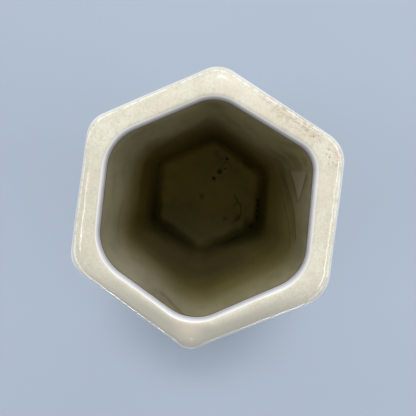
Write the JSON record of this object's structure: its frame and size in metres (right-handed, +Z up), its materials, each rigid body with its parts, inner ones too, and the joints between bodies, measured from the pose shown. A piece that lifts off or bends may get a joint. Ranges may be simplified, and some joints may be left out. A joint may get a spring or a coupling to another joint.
{
  "type": "rock tumbler barrel",
  "caption": "Open hexagonal tumbling barrel: a thick-rimmed glazed liner lifts out of a sheet-metal jacket that rolls on round rubber-tyred rings.",
  "frame": {"origin": "middle of the base, on the plane that the six feet stand on", "axes": "+Z up along the barrel's axis towards its open mouth; +X square to one flat, opposite the jacket's seam; two corners lie on the Y axis"},
  "size_m": [0.18, 0.18, 0.207],
  "materials": {
    "glaze": "thick cream gloss glaze with fine specks and wear",
    "enamel": "ivory stove enamel, semi-gloss, chipped at edges",
    "rivet_steel": "zinc plated",
    "clip_steel": "zinc plated sheet",
    "ring_alloy": "turned casting, satin",
    "tyre_rubber": "matt black, scuffed tread",
    "pad_rubber": "matt dark grey",
    "slip_plastic": "natural white, satin"
  },
  "bodies": {
    "jacket_assembly": {"jacket": "enamel", "seam_strap": "enamel", "seam_rivets": "rivet_steel", "base_cap": "enamel", "cap_rivets": "rivet_steel", "rim_gasket": "pad_rubber", "base_pad": "pad_rubber", "side_pad_1": "pad_rubber", "side_pad_2": "pad_rubber", "side_pad_3": "pad_rubber", "side_pad_4": "pad_rubber", "side_pad_5": "pad_rubber", "side_pad_6": "pad_rubber", "foot_pads": "pad_rubber", "foot_rivets": "rivet_steel", "lower_ring": "ring_alloy", "lower_tyre": "tyre_rubber", "lower_ring_clips": "clip_steel", "lower_clip_rivets": "rivet_steel", "lower_web_rivets": "rivet_steel", "upper_ring": "ring_alloy", "upper_tyre": "tyre_rubber", "upper_ring_clips": "clip_steel", "upper_clip_rivets": "rivet_steel", "upper_web_rivets": "rivet_steel", "thrust_disc": "slip_plastic", "thrust_screw": "rivet_steel", "thrust_washer": "rivet_steel", "thrust_nut": "rivet_steel"},
    "liner_pot": {"liner": "glaze"}
  },
  "joints": [
    {"name": "liner_lift", "type": "slide", "parent": "jacket_assembly", "child": "liner_pot", "axis": [0, 0, 1], "range_m": [0, 0.19]}
  ]
}
